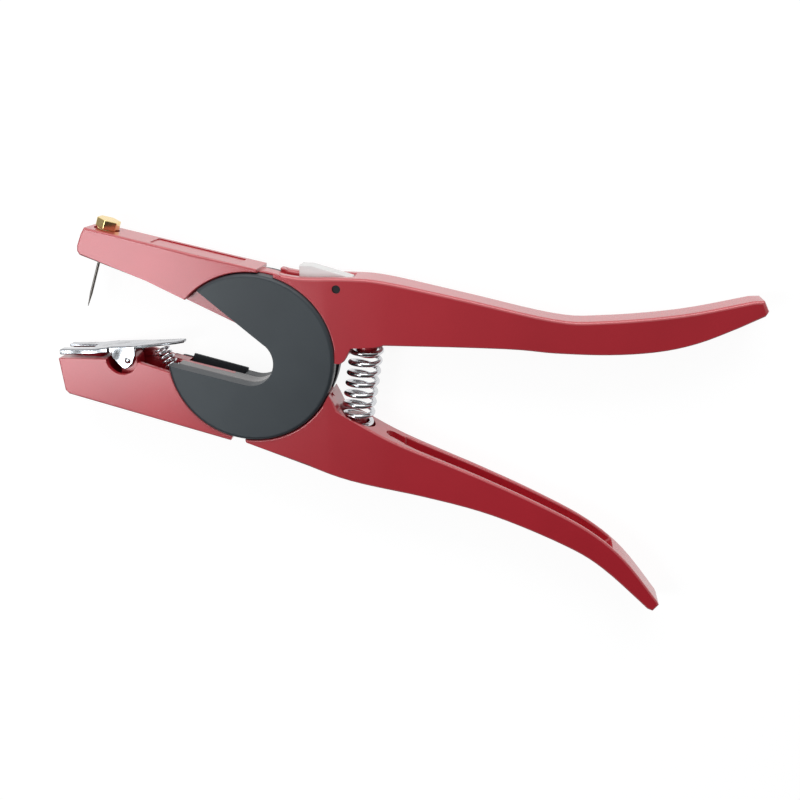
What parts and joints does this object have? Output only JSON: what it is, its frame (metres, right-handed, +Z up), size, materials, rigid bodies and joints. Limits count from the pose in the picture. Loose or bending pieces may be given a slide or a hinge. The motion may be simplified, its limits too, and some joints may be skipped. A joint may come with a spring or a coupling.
{
  "type": "ear tag pliers",
  "caption": "Hand pliers with a deep C-shaped throat, a needle in the upper jaw, a spring clip on the lower jaw and a return spring between curved handles.",
  "frame": {"origin": "middle of the tool's box on the surface that it lies on, with the near side of the picture up", "axes": "+X from the jaws to the handles along the longest extent, +Y towards the upper jaw and upper handle, +Z up, across the tool's thickness"},
  "size_m": [0.2506, 0.1412, 0.0188],
  "materials": {
    "red_paint": "satin metallic paint on a light alloy casting",
    "dark_cover": "fine satin moulding",
    "bright_plate": "bright plated steel",
    "steel": "plain steel",
    "brass": "turned, bright",
    "white_plastic": "satin moulding",
    "black_steel": "blackened"
  },
  "bodies": {
    "frame": {"lower_jaw": "red_paint", "upper_handle": "red_paint", "near_cover": "dark_cover", "far_cover": "dark_cover", "throat_liner": "dark_cover", "liner_pins": "steel", "cover_dowels": "steel", "cover_screws": "steel", "cover_inserts": "brass", "clip_pin": "bright_plate", "catch_pin": "black_steel", "clip_spring": "bright_plate", "return_spring": "bright_plate", "catch_spring": "steel"},
    "lever": {"jaw_lever": "red_paint", "needle": "steel", "needle_screw": "brass", "needle_washer": "brass"},
    "clip": {"tag_clip": "bright_plate"},
    "catch": {"lock_catch": "white_plastic"}
  },
  "joints": [
    {"name": "squeeze", "type": "hinge", "parent": "frame", "child": "lever", "pos_m": [-0.0531, 0.02159, 0.0094], "axis": [0, 0, 1], "range_deg": [0, 20], "stiffness_Nm_per_rad": 1.5, "springref_deg": -17.19, "deforming": ["return_spring"]},
    {"name": "clip_turn", "type": "hinge", "parent": "frame", "child": "clip", "pos_m": [-0.0999, 0.01869, 0.0094], "axis": [0, 0, 1], "range_deg": [-14, 0], "stiffness_Nm_per_rad": 0.1, "springref_deg": 11.46, "deforming": ["clip_spring"]},
    {"name": "catch_turn", "type": "hinge", "parent": "frame", "child": "catch", "pos_m": [-0.0216, 0.04719, 0.0094], "axis": [0, 0, 1], "range_deg": [0, 8], "stiffness_Nm_per_rad": 0.05, "springref_deg": -11.46, "deforming": ["catch_spring"]}
  ]
}
